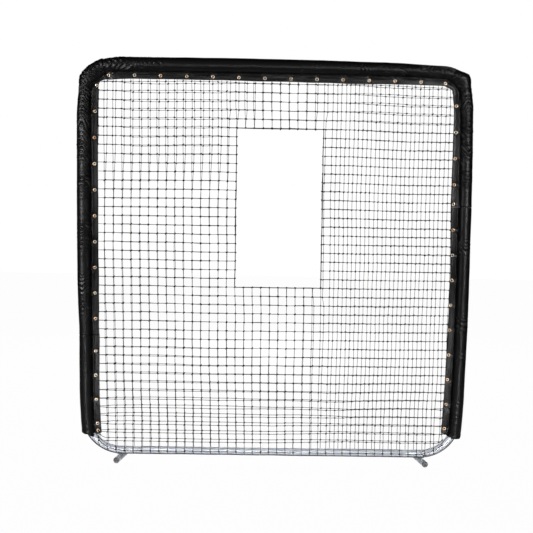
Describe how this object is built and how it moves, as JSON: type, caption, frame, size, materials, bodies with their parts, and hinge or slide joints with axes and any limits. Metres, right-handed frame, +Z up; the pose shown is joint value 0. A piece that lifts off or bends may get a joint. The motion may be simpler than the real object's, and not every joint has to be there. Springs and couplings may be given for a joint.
{
  "type": "pitching target net",
  "caption": "Free-standing ball-pitching screen: rounded square tube frame, padded top and sides, two-layer square-mesh net with a rectangular target window, short swivelling feet.",
  "frame": {"origin": "on the floor, at the bottom centre of the whole object's box; the frame tube's middle plane is 26 mm in front of it, because the feet reach further behind the frame than in front", "axes": "+Z up, +X to the right seen from the padded front, -Y out of the front, towards the player"},
  "size_m": [2.134, 0.2064, 2.194],
  "materials": {
    "galvanised_steel": "satin",
    "zinc_plate": "satin",
    "black_vinyl": "satin",
    "charcoal_foam": "matte",
    "black_twine": "matte",
    "grey_plastic": "satin"
  },
  "bodies": {
    "frame": {"frame_bend_top_left": "galvanised_steel", "frame_bend_top_right": "galvanised_steel", "frame_bend_bottom_left": "galvanised_steel", "frame_bend_bottom_right": "galvanised_steel", "frame_tube_top": "galvanised_steel", "frame_tube_bottom": "galvanised_steel", "frame_tube_left": "galvanised_steel", "frame_tube_right": "galvanised_steel", "cover_top": "black_vinyl", "cover_left_upper": "black_vinyl", "cover_left_lower": "black_vinyl", "cover_right_upper": "black_vinyl", "cover_right_lower": "black_vinyl", "foam_top": "charcoal_foam", "foam_left_upper": "charcoal_foam", "foam_left_lower": "charcoal_foam", "foam_right_upper": "charcoal_foam", "foam_right_lower": "charcoal_foam", "net_front_below": "black_twine", "net_front_above": "black_twine", "net_front_left": "black_twine", "net_front_right": "black_twine", "net_back_below": "black_twine", "net_back_above": "black_twine", "net_back_left": "black_twine", "net_back_right": "black_twine", "window_rope": "black_twine", "net_hem_rope": "black_twine", "left_foot_bolt": "zinc_plate", "left_foot_insert": "zinc_plate", "left_foot_washer": "zinc_plate", "left_foot_saddle": "grey_plastic", "right_foot_bolt": "zinc_plate", "right_foot_insert": "zinc_plate", "right_foot_washer": "zinc_plate", "right_foot_saddle": "grey_plastic"},
    "left_foot": {"left_foot_tube": "galvanised_steel", "left_foot_plug_front": "grey_plastic", "left_foot_plug_back": "grey_plastic"},
    "right_foot": {"right_foot_tube": "galvanised_steel", "right_foot_plug_front": "grey_plastic", "right_foot_plug_back": "grey_plastic"},
    "snap_button_top_left": {"snap_button_top_left": "galvanised_steel"},
    "snap_button_bottom_left": {"snap_button_bottom_left": "galvanised_steel"},
    "snap_button_left_upper": {"snap_button_left_upper": "galvanised_steel"},
    "snap_button_left_lower": {"snap_button_left_lower": "galvanised_steel"},
    "snap_button_top_right": {"snap_button_top_right": "galvanised_steel"},
    "snap_button_bottom_right": {"snap_button_bottom_right": "galvanised_steel"},
    "snap_button_right_upper": {"snap_button_right_upper": "galvanised_steel"},
    "snap_button_right_lower": {"snap_button_right_lower": "galvanised_steel"}
  },
  "joints": [
    {"name": "left_foot_swivel", "type": "hinge", "parent": "frame", "child": "left_foot", "pos_m": [-0.835, -0.02569, 0.016], "axis": [0, 0, 1], "continuous": true},
    {"name": "right_foot_swivel", "type": "hinge", "parent": "frame", "child": "right_foot", "pos_m": [0.835, -0.02569, 0.016], "axis": [0, 0, 1], "continuous": true},
    {"name": "snap_button_top_left_press", "type": "slide", "parent": "frame", "child": "snap_button_top_left", "axis": [0, -1, 0], "range_m": [0, 0.005], "stiffness_N_per_m": 2000, "springref_m": -0.002},
    {"name": "snap_button_bottom_left_press", "type": "slide", "parent": "frame", "child": "snap_button_bottom_left", "axis": [0, -1, 0], "range_m": [0, 0.005], "stiffness_N_per_m": 2000, "springref_m": -0.002},
    {"name": "snap_button_left_upper_press", "type": "slide", "parent": "frame", "child": "snap_button_left_upper", "axis": [0, -1, 0], "range_m": [0, 0.005], "stiffness_N_per_m": 2000, "springref_m": -0.002},
    {"name": "snap_button_left_lower_press", "type": "slide", "parent": "frame", "child": "snap_button_left_lower", "axis": [0, -1, 0], "range_m": [0, 0.005], "stiffness_N_per_m": 2000, "springref_m": -0.002},
    {"name": "snap_button_top_right_press", "type": "slide", "parent": "frame", "child": "snap_button_top_right", "axis": [0, -1, 0], "range_m": [0, 0.005], "stiffness_N_per_m": 2000, "springref_m": -0.002},
    {"name": "snap_button_bottom_right_press", "type": "slide", "parent": "frame", "child": "snap_button_bottom_right", "axis": [0, -1, 0], "range_m": [0, 0.005], "stiffness_N_per_m": 2000, "springref_m": -0.002},
    {"name": "snap_button_right_upper_press", "type": "slide", "parent": "frame", "child": "snap_button_right_upper", "axis": [0, -1, 0], "range_m": [0, 0.005], "stiffness_N_per_m": 2000, "springref_m": -0.002},
    {"name": "snap_button_right_lower_press", "type": "slide", "parent": "frame", "child": "snap_button_right_lower", "axis": [0, -1, 0], "range_m": [0, 0.005], "stiffness_N_per_m": 2000, "springref_m": -0.002}
  ]
}
